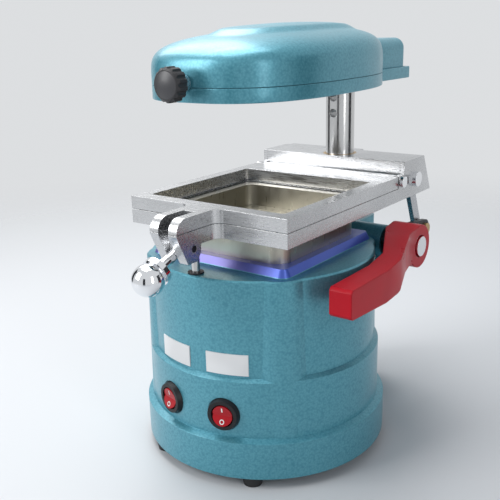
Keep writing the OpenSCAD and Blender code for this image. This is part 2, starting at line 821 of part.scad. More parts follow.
// The plates beside the switches are bare
module label_plates() color(white)
  for (a = [vacuum_angle, heat_angle])
    around(a + label_turn) intersection() {
      translate([0, 0, label_z]) difference() {
        cylinder(r = barrel_r + label_t, h = label_h);
        translate([0, 0, -over]) cylinder(r = barrel_r, h = label_h + 2 * over);
      }
      translate([-label_w / 2, -skirt_r, label_z]) cube([label_w, skirt_r, label_h]);
    }

// Outline of the clamp lug seen from above, with fillets at the frame
module lug_plan() {
  translate([-lug_half_w, lug_front_y]) square([2 * lug_half_w, lug_out + 1]);
  for (s = [-1, 1])
    difference() {
      translate([s < 0 ? -lug_half_w - lug_fillet_r : lug_half_w - 1, front_y - lug_fillet_r])
        square([lug_fillet_r + 1, lug_fillet_r + 1]);
      translate([s * (lug_half_w + lug_fillet_r), front_y - lug_fillet_r])
        circle(r = lug_fillet_r);
    }
}

// The slot that the swing bolt closes into
module lug_slot_cut() {
  translate([-lug_slot / 2, lug_front_y - over, lug_low_z - over])
    cube([lug_slot, slot_back_y - lug_front_y + over, upper_top - lug_low_z + 2 * over]);
}

// The deep fork under the lug, with its slanted front, seen from the side
module lug_fork_side() {
  polygon([
    [lug_front_y, sheet_z - 1], [lug_front_y + lug_taper, lug_low_z],
    [lug_low_back_y - 4, lug_low_z], [lug_low_back_y, lug_low_z + 6],
    [lug_low_back_y, sheet_z - 1]
  ]);
}

// Side view of a cheek that rises behind the frame
module cheek_side() {
  polygon([
    [block_y - 20, lower_z], [block_y - 20, sheet_z - 0.2], [cheek_front_y, sheet_z - 0.2],
    [cheek_front_y, upper_top], [block_y, upper_top], [block_y, block_top],
    [block_back_y, block_top], [block_back_low_y, lower_z]
  ]);
}

module window_cut(z, h) {
  translate([0, tray_cy, z]) linear_extrude(h)
    round_rect(window_w, window_w, window_corner_r);
}

module lower_frame() color(steel) difference() {
  union() {
    translate([-frame_w / 2, front_y, lower_z])
      cube([frame_w, block_y - slip_gap - front_y, lower_t]);
    translate([0, 0, lower_z]) linear_extrude(lower_t) lug_plan();
    slab_x(-lug_half_w, 2 * lug_half_w) lug_fork_side();
    slab_x(frame_w / 2 - cheek_t, cheek_t) cheek_side();
    slab_x(-frame_w / 2, cheek_t) cheek_side();
  }
  // The front of the plate under the slant is cut away with it
  slab_x(-lug_half_w - over, 2 * (lug_half_w + over))
    polygon([
      [lug_front_y - over, sheet_z - 1], [lug_front_y, sheet_z - 1],
      [lug_front_y + lug_taper, lug_low_z - over], [lug_front_y - over, lug_low_z - over]
    ]);
  window_cut(lower_z - over, lower_t + 2 * over);
  lug_slot_cut();
  bar_x(-frame_w, 2 * frame_w, hinge_screw_r, hinge_y, hinge_z);
  bar_x(-frame_w, 2 * frame_w, cheek_screw_r, cheek_screw_y, hinge_z);
  bar_x(0, frame_w, pivot_r, link_top_y, link_top_z);
  bar_x(-frame_w, 2 * frame_w, clamp_pin_r, clamp_y, clamp_z);
  translate([0, rod_y, lower_z - over]) cylinder(r = rod_r, h = 8 + over);
}

module sheet_seal() color(black) difference() {
  translate([0, tray_cy, sheet_z]) linear_extrude(seal_t)
    round_rect(window_w + 8, window_w + 8, window_corner_r + 4);
  window_cut(sheet_z - over, seal_t + 2 * over);
}

module carrier_block() color(steel) difference() {
  union() {
    slab_x(-block_half_w, 2 * block_half_w)
      polygon([
        [block_y, lower_z], [block_y, block_top],
        [block_back_y, block_top], [block_back_low_y, lower_z]
      ]);
    translate([-block_half_w, block_back_y - over, block_top - 12])
      cube([block_half_w + block_step_x, block_step + over, 12]);
  }
  translate([0, post_y, lower_z - over])
    cylinder(r = post_r + 1, h = block_h + 2 * over);
  for (z = [lower_z - over, block_top - bush_h])
    translate([0, post_y, z])
      cylinder(r = post_r + bush_wall, h = bush_h + over);
  for (s = [-1, 1])
    bar_x(s < 0 ? -block_half_w - over : block_half_w - 14, 15, cheek_screw_r,
      cheek_screw_y, hinge_z);
  // The pocket that the link moves in, open below
  translate([link_x - 0.6, link_top_y - 14, lower_z - over])
    cube([link_t + 3, 36, link_top_z - lower_z + 11]);
  bar_x(link_x - 7, 8, pivot_r, link_top_y, link_top_z);
}

module block_bushes() color(brass)
  for (z = [lower_z, block_top - bush_h])
    translate([0, post_y, z]) difference() {
      cylinder(r = post_r + bush_wall, h = bush_h);
      translate([0, 0, -over]) cylinder(r = post_r + run_gap, h = bush_h + 2 * over);
    }

module cheek_screws() color(steel)
  for (s = [0, 1]) mirror([s, 0, 0]) {
    bar_x(block_half_w - 13, cheek_t + 13.1, cheek_screw_r, cheek_screw_y, hinge_z);
    bar_x(frame_w / 2, cheek_head_t, cheek_head_r, cheek_screw_y, hinge_z);
  }

module link_pivot_bolt() color(chrome) {
  bar_x(link_x - 6, frame_w / 2 - link_x + 6, pivot_r, link_top_y, link_top_z);
  bar_x(frame_w / 2, pivot_head_t, pivot_head_r, link_top_y, link_top_z);
}

module guide_rod() color(steel)
  translate([0, rod_y, lower_z + 8 - rod_len]) cylinder(r = rod_r, h = rod_len);

module clamp_pin() color(steel)
  bar_x(-lug_half_w, 2 * lug_half_w, clamp_pin_r, clamp_y, clamp_z);

module upper_frame() color(steel) difference() {
  union() {
    translate([-frame_w / 2, front_y, upper_z])
      cube([frame_w, frame_step_y - front_y, upper_t]);
    translate([-nose_half_w, frame_step_y - over, upper_z])
      cube([2 * nose_half_w, hinge_y - frame_step_y + over, upper_t]);
    bar_x(-nose_half_w, 2 * nose_half_w, nose_r, hinge_y, hinge_z);
    translate([0, 0, upper_z]) linear_extrude(upper_t) lug_plan();
  }
  // The quarter round on the front of the lug
  difference() {
    translate([-lug_half_w - over, lug_front_y - over, upper_z])
      cube([2 * (lug_half_w + over), upper_t + over, upper_t + over]);
    bar_x(-lug_half_w - 2 * over, 2 * (lug_half_w + 2 * over), upper_t,
      lug_front_y + upper_t, upper_z);
  }
  window_cut(upper_z - over, upper_t + 2 * over);
  lug_slot_cut();
  for (s = [0, 1]) mirror([s, 0, 0])
    bar_x(nose_half_w - 13, 14, hinge_screw_r + run_gap, hinge_y, hinge_z);
}

module hinge_screws() color(chrome)
  for (s = [0, 1]) mirror([s, 0, 0]) {
    bar_x(nose_half_w - 12, frame_w / 2 - nose_half_w + 12, hinge_screw_r, hinge_y, hinge_z);
    bar_x(frame_w / 2, hinge_head_t, hinge_head_r, hinge_y, hinge_z);
  }

// Places a thing that points along +Z from the clamp pin down the hanging bolt
module along_bolt() {
  translate([0, clamp_y, clamp_z]) rotate([90 + bolt_droop, 0, 0]) children();
}

module swing_bolt() color(chrome) along_bolt() difference() {
  union() {
    translate([-eye_t / 2, 0, 0]) rotate([0, 90, 0]) cylinder(r = eye_end_r, h = eye_t);
    cylinder(r = bolt_r, h = ball_reach + 4);
  }
  translate([-eye_t, 0, 0]) rotate([0, 90, 0])
    cylinder(r = clamp_pin_r + run_gap, h = 2 * eye_t);
}

module ball_nut() color(chrome) along_bolt() difference() {
  union() {
    translate([0, 0, collar_at]) cylinder(r = collar_r, h = collar_t);
    intersection() {
      translate([0, 0, ball_reach]) sphere(r = ball_r);
      translate([0, 0, collar_at]) cylinder(r = 2 * ball_r, h = 3 * ball_r);
    }
  }
  translate([0, 0, collar_at - over]) cylinder(r = bolt_r + run_gap, h = ball_reach + 6 - collar_at);
}

// Side view of the lever: hub, sloping arm and level grip
module lever_side() {
  grip_top = lever_z + 5;
  grip_low = grip_top - grip_h;
  end_y = lever_y - lever_len;
  translate([lever_y, lever_z]) circle(r = hub_r);
  polygon([
    [lever_y - 4, lever_z + hub_r - 0.5], [lever_y - 30, lever_z + 13.5],
    [lever_y - 56, lever_z + 9], [lever_y - 80, grip_top], [end_y + 2, grip_top],
    [end_y, grip_top - 2], [end_y, grip_low + 2], [end_y + 2, grip_low],
    [lever_y - 84, grip_low - 3], [lever_y - 66, grip_low - 1.5],
    [lever_y - 40, lever_z - 10], [lever_y - 14, lever_z - 12]
  ]);
}

// Plan view of the lever: the arm sweeps outwards to pass the base
module lever_plan() {
  out_x = grip_x + grip_t;
  polygon([
    [hub_x, lever_y + hub_r + 1], [hub_x + hub_w, lever_y + hub_r + 1],
    [hub_x + hub_w, lever_y - hub_r - 2], [out_x, lever_y - 62],
    [out_x, lever_y - lever_len - 1], [grip_x, lever_y - lever_len - 1],
    [grip_x, lever_y - 58], [hub_x, lever_y - hub_r + 4]
  ]);
}

module lever_handle() color(red) difference() {
  intersection() {
    slab_x(hub_x - over, 2 * hub_w + grip_t) lever_side();
    translate([0, 0, lever_z - 2 * hub_r]) linear_extrude(4 * hub_r) lever_plan();
  }
  bar_x(hub_x - over, hub_w + 2 * over, shaft_r, lever_y, lever_z);
  bar_x(hub_x + hub_w - cap_depth, cap_depth + over, cap_r + 1, lever_y, lever_z);
}

module lever_cap_bolt() color(chrome) {
  bar_x(hub_x + hub_w - cap_depth, cap_depth + 1.5, cap_r, lever_y, lever_z);
  bar_x(hub_x + hub_w - cap_depth - cap_stem_len, cap_stem_len, cap_stem_r, lever_y, lever_z);
}

module lever_shaft() color(steel) difference() {
  bar_x(shaft_start_x + 1, hub_x + hub_w - cap_depth - shaft_start_x - 1, shaft_r,
    lever_y, lever_z);
  bar_x(hub_x + hub_w - cap_depth - cap_stem_len, cap_stem_len + over, cap_stem_r,
    lever_y, lever_z);
}

module crank_arm() color(grey) difference() {
  slab_x(crank_x, link_t) {
    translate([lever_y, lever_z]) circle(r = crank_hub_r);
    translate([pin_y, pin_z]) circle(r = crank_end_r);
    polygon([
      [lever_y, lever_z + crank_hub_r], [lever_y, lever_z - crank_hub_r],
      [pin_y, pin_z - crank_end_r], [pin_y, pin_z + crank_end_r]
    ]);
  }
  bar_x(crank_x - over, link_t + 2 * over, shaft_r, lever_y, lever_z);
  bar_x(crank_x - over, link_t + 2 * over, pin_r, pin_y, pin_z);
}

module crank_pin() color(brass) {
  bar_x(link_x - 1.6, crank_x + link_t - link_x + 1.6, pin_r, pin_y, pin_z);
  bar_x(crank_x + link_t, 2.4, pin_r + 2, pin_y, pin_z);
  bar_x(link_x - 3.6, 2.4, pin_r + 2, pin_y, pin_z);
  bar_x(link_x + link_t + 0.4, crank_x - link_x - link_t - 0.4, pin_r + 1.5, pin_y, pin_z);
}

module link_bar() color(steel) {
  lean = atan2(pin_y - link_top_y, link_top_z - pin_z);
  reach = sqrt(pow(pin_y - link_top_y, 2) + pow(link_top_z - pin_z, 2));
  translate([link_x, pin_y, pin_z]) rotate([lean, 0, 0]) difference() {
    rotate([90, 0, 90]) linear_extrude(link_t) {
      circle(r = link_end_r);
      translate([0, reach]) circle(r = link_end_r + 1);
      translate([-link_w / 2, 0]) square([link_w, reach]);
    }
    translate([-over, 0, 0]) rotate([0, 90, 0]) cylinder(r = pin_r + run_gap, h = link_t + 2 * over);
    translate([-over, 0, reach]) {
      rotate([0, 90, 0]) cylinder(r = pivot_r + link_eye_gap, h = link_t + 2 * over);
      for (s = [-1, 1]) translate([0, s * link_slot / 2, 0])
        rotate([0, 90, 0]) cylinder(r = pivot_r + link_eye_gap, h = link_t + 2 * over);
    }
  }
}

// A point of the head's plan outline, drawn in by some margin
function plan_share(a) = [
  sign(cos(a)) * pow(abs(cos(a)), 2 / plan_power),
  sign(sin(a)) * pow(abs(sin(a)), 2 / plan_power)
];
function plan_point(a, margin) = [
  (head_half_w - margin) * plan_share(a)[0] * (1 - plan_taper * plan_share(a)[1]),
  head_cy + (head_half_d - margin) * plan_share(a)[1]
];

module head_plan(margin) {
  polygon([for (i = [0 : plan_steps - 1]) plan_point(i * 360 / plan_steps, margin)]);
  translate([0, (tail_y + head_cy) / 2 - margin / 2])
    round_rect(2 * (tail_half_w - margin), tail_y - head_cy - margin, lip_corner_r - margin / 2);
}

// The dome's rings run from the rim, size 1 and height 0, to the top
function ring_size(k) = pow(cos(k * 90 / dome_steps), 0.95);
function ring_lift(k) = pow(sin(k * 90 / dome_steps), 0.38);

// The crest is an oval plateau, 1 high on top and 0 outside its rounded shoulder
function oval(x, y) = pow(pow(abs(x) / crest_half_w, 2.5)
  + pow(abs(y - crest_y) / crest_half_d, 2.5), 0.4);
function ease(t) = t * t * (3 - 2 * t);
function crest(x, y) = ease(max(0, min(1, (1 - oval(x, y)) / crest_shoulder)));

function dome_height(x, y, lift, margin) =
  (dome_h + dome_rise * (y - head_cy) / head_half_d - margin) * lift + crest_h * crest(x, y);

function dome_point(i, k, margin) =
  let (rim = plan_point(i * 360 / plan_steps, margin),
    x = rim[0] * ring_size(k),
    y = head_cy + (rim[1] - head_cy) * ring_size(k))
  [x, y, dome_z + dome_height(x, y, ring_lift(k), margin)];

module dome_solid(margin) {
  last = dome_steps - 1;
  points = [
    for (k = [0 : last], i = [0 : plan_steps - 1]) dome_point(i, k, margin),
    [0, head_cy, dome_z], [0, head_cy, dome_z + dome_height(0, head_cy, 1, margin)]
  ];
  foot = (last + 1) * plan_steps;
  faces = concat(
    [for (i = [0 : plan_steps - 1]) [foot, i, (i + 1) % plan_steps]],
    [for (k = [0 : last - 1], i = [0 : plan_steps - 1])
      [k * plan_steps + i, (k + 1) * plan_steps + i, (k + 1) * plan_steps + (i + 1) % plan_steps]],
    [for (k = [0 : last - 1], i = [0 : plan_steps - 1])
      [k * plan_steps + i, (k + 1) * plan_steps + (i + 1) % plan_steps,
        k * plan_steps + (i + 1) % plan_steps]],
    [for (i = [0 : plan_steps - 1])
      [last * plan_steps + i, foot + 1, last * plan_steps + (i + 1) % plan_steps]]
  );
  polyhedron(points, faces, convexity = 4);
}

module tail_solid(margin) {
  r = tail_corner_r;
  half = tail_half_w - lip_out - margin;
  back = tail_y - lip_out - margin;
  hull() {
    for (x = [-1, 1]) {
      translate([x * (half - r), back - r, dome_z]) cylinder(r = r, h = 1, $fn = 32);
      translate([x * (half - r), back - r, dome_z + tail_h - margin - r]) sphere(r = r, $fn = 32);
      translate([x * (half - r), head_cy, dome_z]) cylinder(r = r, h = 1, $fn = 32);
      translate([x * (half - r), head_cy, dome_z + tail_h - margin - r]) sphere(r = r, $fn = 32);
    }
  }
}

module head_shell() color(teal) difference() {
  union() {
    dome_solid(0);
    tail_solid(0);
  }
  translate([0, 0, -0.01]) {
    dome_solid(head_wall);
    tail_solid(head_wall);
  }
  translate([0, head_cy - head_half_d - over, knob_z]) rotate([-90, 0, 0])
    cylinder(r = knob_stud_r, h = 3 * head_wall);
}

module head_rim() color(teal) difference() {
  translate([0, 0, head_z]) linear_extrude(rim_h) head_plan(0);
  translate([0, 0, head_z - over]) linear_extrude(rim_h + 2 * over) head_plan(head_wall);
}

module head_hub() color(grey) translate([0, post_y, 0]) difference() {
  union() {
    translate([0, 0, hub_z]) cylinder(r = hub_block_r, h = hub_h);
    translate([-tail_half_w + head_wall + slip_gap, 0, hub_z])
      cube([2 * (tail_half_w - head_wall - slip_gap), hub_ear_len, hub_ear_t]);
  }
  translate([0, 0, hub_z - over]) cylinder(r = post_r + run_gap, h = hub_h + 2 * over);
  for (s = [-1, 1])
    translate([s * (tail_half_w - hub_screw_in), hub_screw_back, hub_z - over])
      cylinder(r = hub_screw_r, h = hub_ear_t + 2 * over);
}

module hub_screws() color(steel)
  for (s = [-1, 1])
    translate([s * (tail_half_w - hub_screw_in), post_y + hub_screw_back, 0]) {
      translate([0, 0, hub_z - 1.6]) cylinder(r = 3.4, h = 1.6);
      translate([0, 0, hub_z]) cylinder(r = hub_screw_r, h = 9);
    }

// Square reflector tray over the element, open below
module reflector() color(chrome) translate([0, tray_cy, reflector_z]) difference() {
  linear_extrude(reflector_h) round_rect(reflector_w, reflector_w, 12);
  translate([0, 0, -over]) linear_extrude(reflector_h - reflector_t + over)
    round_rect(reflector_w - 2 * reflector_t, reflector_w - 2 * reflector_t, 11);
}

module heater_plate() color(white) translate([0, tray_cy, 0])
  translate([0, 0, heater_z]) linear_extrude(heater_t) round_rect(heater_w, heater_w, 9);

// The element runs to and fro under the ceramic plate
module heater_element() color(grey) translate([0, tray_cy, heater_z - element_r - 0.4]) {
  first = -(element_rows - 1) * element_gap / 2;
  for (i = [0 : element_rows - 1])
    translate([-element_half, first + i * element_gap, 0]) rotate([0, 90, 0])
      cylinder(r = element_r, h = 2 * element_half, $fn = 24);
  for (i = [0 : element_rows - 2])
    translate([(i % 2 == 0 ? 1 : -1) * element_half, first + (i + 0.5) * element_gap, 0])
      rotate(i % 2 == 0 ? -90 : 90)
        rotate_extrude(angle = 180, $fn = 48)
          translate([element_gap / 2, 0]) circle(r = element_r, $fn = 24);
}

module element_brackets() color(steel) translate([0, tray_cy, 0])
  for (s = [-1, 1])
    translate([s * strap_at - strap_w / 2, strap_in - heater_w / 2,
      heater_z - 2 * element_r - 1 - strap_t])
      cube([strap_w, heater_w - 2 * strap_in, strap_t]);

module knob() color(black)
  translate([0, head_cy - head_half_d - knob_stem - knob_len, knob_z]) rotate([-90, 0, 0])
    difference() {
      union() {
        cylinder(r1 = knob_r - 2, r2 = knob_r, h = 2);
        translate([0, 0, 2]) cylinder(r = knob_r, h = knob_len - 4);
        translate([0, 0, knob_len - 2]) cylinder(r1 = knob_r, r2 = knob_r - 4, h = 2);
      }
      for (i = [0 : flute_count - 1])
        rotate(i * 360 / flute_count) translate([knob_r + 0.4, 0, -over])
          cylinder(r = flute_r, h = knob_len + 2 * over, $fn = 24);
      translate([0, 0, knob_core]) cylinder(r = knob_stud_r, h = knob_len);
    }

module knob_stud() color(steel)
  translate([0, head_cy - head_half_d - knob_stem - knob_len + knob_core, knob_z])
    rotate([-90, 0, 0]) {
    cylinder(r = knob_stud_r, h = knob_len - knob_core + knob_stem + head_wall);
    translate([0, 0, knob_len - knob_core]) cylinder(r = knob_stud_r + 2.5, h = knob_stem - 1.5);
  }

base_casting();
bottom_cover();
rubber_feet();
foot_screws();
guide_bush();
tray();
perforated_plate();
tray_screws();
port_gasket();
fan_housing();
fan_gasket();
motor_can();
stator_core();
motor_bracket();
bracket_screws();
motor_bearings();
rotor_shaft();
rotor_core();
impeller();
post();
post_set_screws();
lever_bush();
power_inlet();
inlet_screws();
vacuum_switch();
heat_switch();
vacuum_rocker();
heat_rocker();
label_plates();
lower_frame();
sheet_seal();
carrier_block();
block_bushes();
cheek_screws();
link_pivot_bolt();
guide_rod();
clamp_pin();
upper_frame();
hinge_screws();
swing_bolt();
ball_nut();
lever_handle();
lever_cap_bolt();
lever_shaft();
crank_arm();
crank_pin();
link_bar();
head_shell();
head_rim();
head_hub();
hub_screws();
reflector();
heater_plate();
heater_element();
element_brackets();
knob();
knob_stud();
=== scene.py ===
# %% [markdown]
# # A dental vacuum former, from its CAD frame to a finished picture
#
# The machine softens a plastic sheet under a heater head and draws it down over a model on a
# suction tray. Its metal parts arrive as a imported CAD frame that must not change. This lesson
# dresses that frame: it sets the camera and light, gives every part a procedural finish, and
# remodels the few parts whose real surface is softer than the CAD's edges.

# %% Load the frame and keep its box
import math

import bmesh
import bpy
import numpy as np
from mathutils import Matrix, Vector


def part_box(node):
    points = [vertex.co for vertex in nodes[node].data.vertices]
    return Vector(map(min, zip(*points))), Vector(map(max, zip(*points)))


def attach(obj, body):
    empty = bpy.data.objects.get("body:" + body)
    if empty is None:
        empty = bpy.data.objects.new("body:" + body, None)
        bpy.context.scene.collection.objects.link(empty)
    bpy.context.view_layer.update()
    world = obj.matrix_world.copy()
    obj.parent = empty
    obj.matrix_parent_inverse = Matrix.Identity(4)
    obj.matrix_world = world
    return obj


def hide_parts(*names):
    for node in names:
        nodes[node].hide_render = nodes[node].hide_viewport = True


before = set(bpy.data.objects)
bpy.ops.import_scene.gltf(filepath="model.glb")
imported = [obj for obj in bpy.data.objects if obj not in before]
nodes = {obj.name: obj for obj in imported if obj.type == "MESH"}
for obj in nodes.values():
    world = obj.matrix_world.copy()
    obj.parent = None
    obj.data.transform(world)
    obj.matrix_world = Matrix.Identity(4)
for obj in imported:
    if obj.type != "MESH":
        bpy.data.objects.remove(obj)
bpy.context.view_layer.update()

# %% [markdown]
# ## The camera
#
# The photograph looks down at the machine from its front right. A camera that is built from its
# place and two angles is easier to read than a matrix: azimuth 0 looks along +Y and grows
# towards -X. A small roll follows the slight lean of the photograph.

# %% Place the camera
EYE = Vector((0.33155, -0.45595, 0.32192))
AZIMUTH, PITCH, ROLL = math.radians(37.0515), math.radians(16.6906), math.radians(-1.4749)
LENS_MM, SENSOR_MM = 53.43, 36.0
MACHINE_MIDDLE = Vector((0, 0.02, 0.16))


def camera_axes(azimuth, pitch, roll):
    """Right, up and forward: turn +Y by the azimuth, tip it down by the pitch, then roll."""
    ahead = Vector((-math.sin(azimuth) * math.cos(pitch),
                    math.cos(azimuth) * math.cos(pitch), -math.sin(pitch)))
    right = Vector((math.cos(azimuth), math.sin(azimuth), 0.0))
    up = right.cross(ahead)
    return (right * math.cos(roll) + up * math.sin(roll),
            up * math.cos(roll) - right * math.sin(roll), ahead)


right, up, ahead = camera_axes(AZIMUTH, PITCH, ROLL)
camera_data = bpy.data.cameras.new("photo_camera")
camera_data.lens = LENS_MM
camera_data.sensor_width = SENSOR_MM
camera_data.clip_start, camera_data.clip_end = 0.01, 20.0
camera = bpy.data.objects.new("photo_camera", camera_data)
bpy.context.scene.collection.objects.link(camera)
camera.matrix_world = Matrix((
    (right.x, up.x, -ahead.x, EYE.x),
    (right.y, up.y, -ahead.y, EYE.y),
    (right.z, up.z, -ahead.z, EYE.z),
    (0.0, 0.0, 0.0, 1.0)))
bpy.context.scene.camera = camera
print("camera", round((EYE - MACHINE_MIDDLE).length, 3), "m from the machine's middle")

# %% [markdown]
# ## Light and floor
#
# Plated and satin metal shows what stands around it. The room is a plain pale grey that the
# camera, reflections and clear parts see, and a dimmer one that only lights matt surfaces. The
# lamps are large soft panels, the strongest at the front left, so the right side falls into
# shade.

# %% The room
SEEN_COLOUR = (0.72, 0.735, 0.75)
ROOM_COLOUR, ROOM_STRENGTH = (0.80, 0.87, 0.95), 0.38

scene = bpy.context.scene
scene.view_settings.view_transform = "Standard"

world = bpy.data.worlds.new("pale_room")
scene.world = world
world.use_nodes = True
wt = world.node_tree
wt.nodes.clear()
w_out = wt.nodes.new("ShaderNodeOutputWorld")
w_mix = wt.nodes.new("ShaderNodeMixShader")
w_seen = wt.nodes.new("ShaderNodeBackground")
w_room = wt.nodes.new("ShaderNodeBackground")
w_path = wt.nodes.new("ShaderNodeLightPath")
w_any = wt.nodes.new("ShaderNodeMath")
w_all = wt.nodes.new("ShaderNodeMath")
w_any.operation = w_all.operation = "MAXIMUM"
w_seen.inputs["Color"].default_value = (*SEEN_COLOUR, 1)
w_room.inputs["Color"].default_value = (*ROOM_COLOUR, 1)
w_room.inputs["Strength"].default_value = ROOM_STRENGTH
wt.links.new(w_path.outputs["Is Camera Ray"], w_any.inputs[0])
wt.links.new(w_path.outputs["Is Glossy Ray"], w_any.inputs[1])
wt.links.new(w_any.outputs[0], w_all.inputs[0])
wt.links.new(w_path.outputs["Is Transmission Ray"], w_all.inputs[1])
wt.links.new(w_all.outputs[0], w_mix.inputs[0])
wt.links.new(w_room.outputs[0], w_mix.inputs[1])
wt.links.new(w_seen.outputs[0], w_mix.inputs[2])
wt.links.new(w_mix.outputs[0], w_out.inputs["Surface"])


# %% The lamps
PANELS = [  # name, place, the point it faces, width and height in metres, watts
    ("front_left_panel", (-0.75, -1.05, 0.85), (0, 0, 0.15), (0.7, 0.9), 12),
    ("right_panel", (1.25, -0.45, 0.55), (0, 0, 0.15), (0.3, 1.0), 3),
    ("top_panel", (-0.25, 0.05, 1.25), (0, 0, 0.10), (0.8, 0.8), 9),
    ("back_panel", (-0.80, 0.45, 1.15), (0, 0, 0.20), (0.8, 0.8), 7),
]


def turned_to(thing, place, aim):
    """Puts a lamp or card at place so that its local -Z looks at aim."""
    thing.location = place
    thing.rotation_euler = (Vector(aim) - Vector(place)).to_track_quat("-Z", "Y").to_euler()


def soft_panel(name, place, aim, size, watts):
    """A rectangular area lamp at place that faces aim."""
    data = bpy.data.lights.new(name, "AREA")
    data.shape, data.size, data.size_y = "RECTANGLE", size[0], size[1]
    data.energy = watts
    lamp = bpy.data.objects.new(name, data)
    turned_to(lamp, place, aim)
    scene.collection.objects.link(lamp)


for panel in PANELS:
    soft_panel(*panel)
print(len(PANELS), "soft panels light the room")

# %% [markdown]
# ## Surfaces from grids
#
# Every new surface is a grid of points that a formula fills in one go. Two helpers turn such a
# grid into a mesh and the mesh into an object. The floor is the first: a flat sheet. Three dark
# cards stand round the machine for reflections alone: without them the polished clamp and the
# post look like white plastic.


# %% Grids, the floor and the cards
def grid_mesh(name, points, wrap_u=False, wrap_v=False):
    """A mesh from a grid of points: quad (i, j) joins point (i, j) to its next in u and in v."""
    nu, nv = points.shape[:2]
    iu = np.arange(nu if wrap_u else nu - 1)
    iv = np.arange(nv if wrap_v else nv - 1)
    a, b = np.meshgrid(iu, iv, indexing="ij")
    c, d = (a + 1) % nu, (b + 1) % nv
    quads = np.stack([a * nv + b, c * nv + b, c * nv + d, a * nv + d], -1).reshape(-1, 4)
    mesh = bpy.data.meshes.new(name)
    mesh.from_pydata(points.reshape(-1, 3).tolist(), [], quads.tolist())
    mesh.shade_smooth()
    return mesh


def new_piece(name, mesh):
    """An object for a mesh, at the origin and unturned, in the scene."""
    piece = bpy.data.objects.new(name, mesh)
    scene.collection.objects.link(piece)
    return piece


FLOOR_HALF, FLOOR_LINES = 3.0, 13
side = np.linspace(-FLOOR_HALF, FLOOR_HALF, FLOOR_LINES)
fx, fy = np.meshgrid(side, side, indexing="ij")
floor = new_piece("floor", grid_mesh("floor", np.stack([fx, fy, 0 * fx], -1)))


CARD_HEIGHT, CARD_AIM = 0.9, (0, 0, 0.18)


def dark_card(name, place, width):
    """A dark upright card that only reflections see, looking at the machine."""
    u, v = np.meshgrid([-width / 2, width / 2], [-CARD_HEIGHT / 2, CARD_HEIGHT / 2],
                       indexing="ij")
    card = new_piece(name, grid_mesh(name, np.stack([u, v, 0 * u], -1)))
    turned_to(card, place, CARD_AIM)
    card.visible_camera = card.visible_diffuse = card.visible_shadow = False
    return card


CARDS = [
    dark_card("card_front", (0.30, -1.10, 0.22), 0.28),
    dark_card("card_left", (-1.05, -0.20, 0.30), 0.45),
    dark_card("card_right", (0.95, 0.55, 0.30), 0.50),
]
print("the floor and", len(CARDS), "cards are in place")

# %% [markdown]
# ## Finishes
#
# Every finish is a Principled surface whose colour, roughness and bump vary through noise in
# Object coordinates, so nothing is one flat value. One helper lays down the shared wiring and
# each finish adds its own grain. A Bevel node rounds the shading of sharp CAD edges a little,
# as casting, stamping and machining do.


# %% The shared wiring of a finish
BEVEL_SAMPLES = 4
NOISE_LOW, NOISE_HIGH = 0.3, 0.7  # a noise spends nearly all its area between these levels


def base_finish(name, colour, metal, rough, edge_mm=0.4):
    """A Principled material; returns the material, its tree, the shader and a bevelled normal."""
    material = bpy.data.materials.new(name)
    material.use_nodes = True
    material.diffuse_color = (*colour, 1)
    tree = material.node_tree
    shader = tree.nodes["Principled BSDF"]
    shader.inputs["Base Color"].default_value = (*colour, 1)
    shader.inputs["Metallic"].default_value = metal
    shader.inputs["Roughness"].default_value = rough
    bevel = tree.nodes.new("ShaderNodeBevel")
    bevel.samples = BEVEL_SAMPLES
    bevel.inputs["Radius"].default_value = edge_mm / 1000
    tree.links.new(bevel.outputs[0], shader.inputs["Normal"])
    return material, tree, shader, bevel


def object_noise(tree, scale, detail=3.0, stretch=(1, 1, 1)):
    """Noise in Object coordinates, stretched per axis; returns its 0 to 1 output."""
    place = tree.nodes.new("ShaderNodeTexCoord")
    mapping = tree.nodes.new("ShaderNodeMapping")
    mapping.inputs["Scale"].default_value = stretch
    noise = tree.nodes.new("ShaderNodeTexNoise")
    noise.inputs["Scale"].default_value = scale
    noise.inputs["Detail"].default_value = detail
    tree.links.new(place.outputs["Object"], mapping.inputs[0])
    tree.links.new(mapping.outputs[0], noise.inputs["Vector"])
    return noise.outputs["Fac"]


def vary(tree, source, socket, low, high):
    """Maps a noise's usual range onto the range low to high of a number socket."""
    spread = tree.nodes.new("ShaderNodeMapRange")
    spread.inputs["From Min"].default_value = NOISE_LOW
    spread.inputs["From Max"].default_value = NOISE_HIGH
    spread.inputs["To Min"].default_value = low
    spread.inputs["To Max"].default_value = high
    tree.links.new(source, spread.inputs["Value"])
    tree.links.new(spread.outputs["Result"], socket)


def tint(tree, source, socket, first, second, low=NOISE_LOW, high=NOISE_HIGH):
    """Blends two colours by a 0 to 1 source, between its low and high levels."""
    ramp = tree.nodes.new("ShaderNodeValToRGB")
    ramp.color_ramp.elements[0].position = low
    ramp.color_ramp.elements[1].position = high
    ramp.color_ramp.elements[0].color = (*first, 1)
    ramp.color_ramp.elements[1].color = (*second, 1)
    tree.links.new(source, ramp.inputs[0])
    tree.links.new(ramp.outputs[0], socket)


def raise_bump(tree, shader, source, height_mm, strength, below):
    """A bump of height_mm from a 0 to 1 source, on top of the normal that below gives."""
    bump = tree.nodes.new("ShaderNodeBump")
    bump.inputs["Strength"].default_value = strength
    bump.inputs["Distance"].default_value = height_mm / 1000
    tree.links.new(source, bump.inputs["Height"])
    tree.links.new(below.outputs[0], bump.inputs["Normal"])
    tree.links.new(bump.outputs[0], shader.inputs["Normal"])
